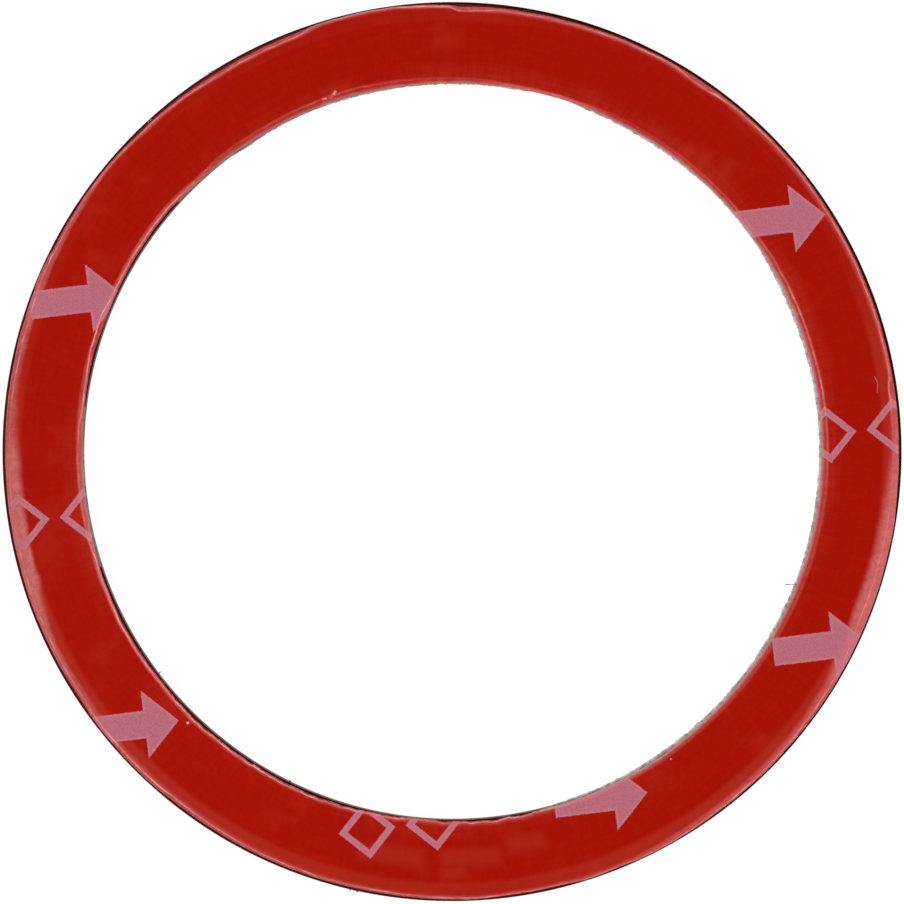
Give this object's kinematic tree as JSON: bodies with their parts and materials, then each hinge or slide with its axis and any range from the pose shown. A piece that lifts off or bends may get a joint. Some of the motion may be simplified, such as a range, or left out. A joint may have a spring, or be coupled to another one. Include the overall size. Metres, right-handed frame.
{
  "type": "magnetic phone mount plate",
  "caption": "Thin stamped steel ring with a die-cut foam adhesive ring on one face, still covered by its red release film; sticks to a phone or case so that a ring magnet can hold it.",
  "frame": {"origin": "middle of the face that the plate rests on, on the axis of the hole", "axes": "+Z out of the taped face along the hole's axis; +Y is up in the picture and +X is right"},
  "size_m": [0.056, 0.056, 0.0012],
  "materials": {
    "coated_steel": "pre-coated black sheet steel, fine matt grain on the faces, bare grey sheared walls",
    "acrylic_foam": "dark closed-cell acrylic foam, tacky faces, ragged die-cut walls",
    "red_release_film": "thin red release film with a soft sheen, paler pink where it has let go of the tape"
  },
  "bodies": {
    "root": {"steel_ring": "coated_steel", "foam_tape": "acrylic_foam", "release_liner": "red_release_film"}
  },
  "joints": []
}
